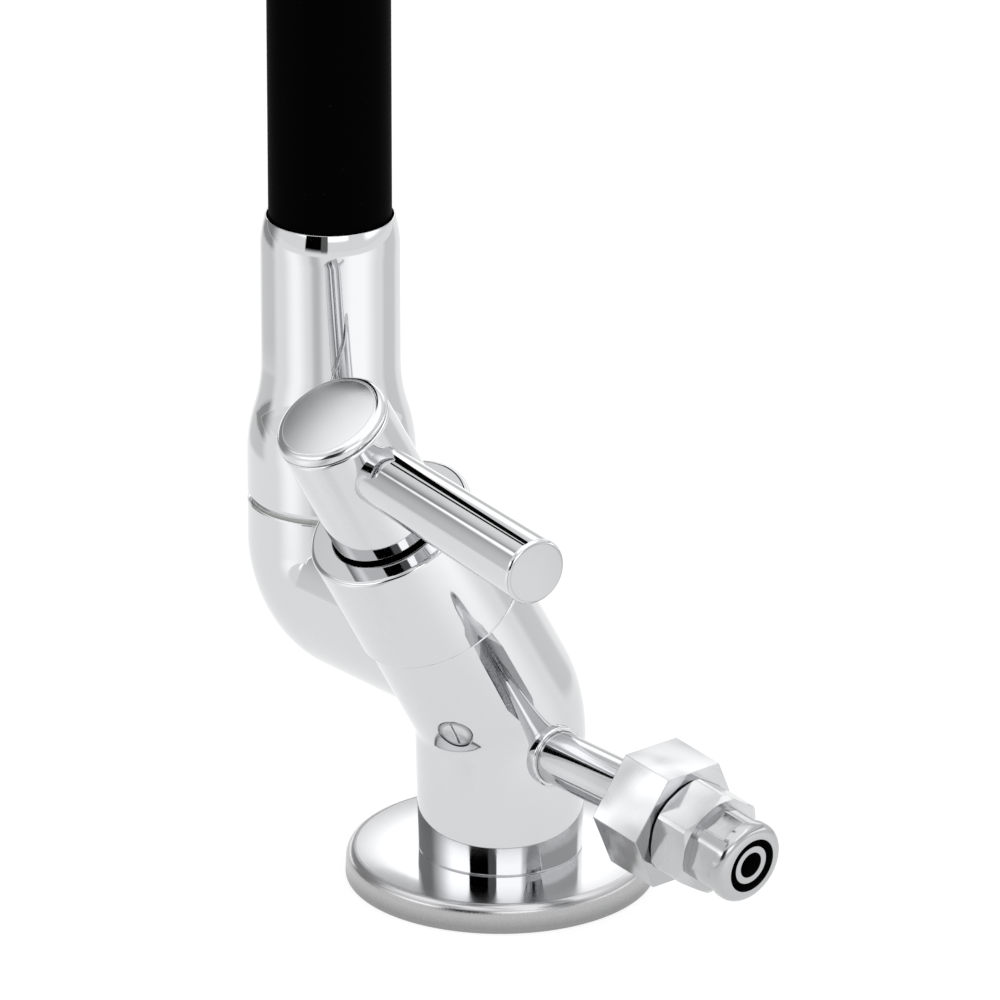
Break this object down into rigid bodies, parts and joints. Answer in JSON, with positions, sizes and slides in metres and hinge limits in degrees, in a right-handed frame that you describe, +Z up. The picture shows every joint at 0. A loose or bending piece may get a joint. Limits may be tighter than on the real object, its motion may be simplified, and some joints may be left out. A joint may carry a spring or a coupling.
{
  "type": "flexible kitchen faucet",
  "caption": "Chromed pillar tap on a round base, with a leaning quarter-turn lever valve, a side supply fitting and a swivelling column carrying a black flexible hose spout.",
  "frame": {"origin": "centre of the base disc's underside, on the worktop", "axes": "+Z up, -Y towards the sink under the spout, +Y towards the supply fitting, +X the side the valve leans to"},
  "size_m": [0.0772, 0.2917, 0.3414],
  "materials": {
    "polished_chrome": "mirror polished",
    "turned_chrome": "bright, with fine turning marks",
    "brass": "machined",
    "steel": "plain",
    "seal_rubber": "matt",
    "hose_rubber": "matt",
    "ceramic": "lapped",
    "plastic": "matt"
  },
  "bodies": {
    "tap": {"base_disc": "polished_chrome", "base_gasket": "seal_rubber", "tap_body": "polished_chrome", "plug_screw": "polished_chrome", "valve_housing": "polished_chrome", "headpart_body": "brass", "headpart_oring": "seal_rubber", "headpart_seal": "seal_rubber", "fixed_ceramic_disc": "ceramic", "inlet_pipe": "polished_chrome", "pipe_collar": "polished_chrome", "socket_nut": "turned_chrome", "fitting_seal": "seal_rubber", "inlet_fitting": "turned_chrome", "union_nut": "turned_chrome", "swivel_nipple": "brass", "nipple_clip": "steel", "swivel_orings": "seal_rubber", "glide_ring": "plastic"},
    "handle": {"moving_ceramic_disc": "ceramic", "spindle": "brass", "spindle_orings": "seal_rubber", "spindle_clip": "steel", "handle_hub": "polished_chrome", "lever_bar": "polished_chrome", "handle_cap": "polished_chrome", "handle_screw": "steel"},
    "spout": {"spout_column": "polished_chrome", "lower_hose_tail": "brass", "hose_sleeve": "hose_rubber", "gooseneck_core": "steel", "water_tube": "plastic", "upper_hose_tail": "brass", "outlet_sleeve": "polished_chrome", "aerator_shell": "polished_chrome", "aerator_insert": "plastic", "aerator_seal": "seal_rubber"}
  },
  "joints": [
    {"name": "handle_turn", "type": "hinge", "parent": "tap", "child": "handle", "pos_m": [0, 0, 0.0314], "axis": [0.5015, 0, 0.8652], "range_deg": [-90, 0]},
    {"name": "spout_swivel", "type": "hinge", "parent": "tap", "child": "spout", "pos_m": [0, -0.0492, 0.0595], "axis": [0, 0, 1], "continuous": true}
  ]
}
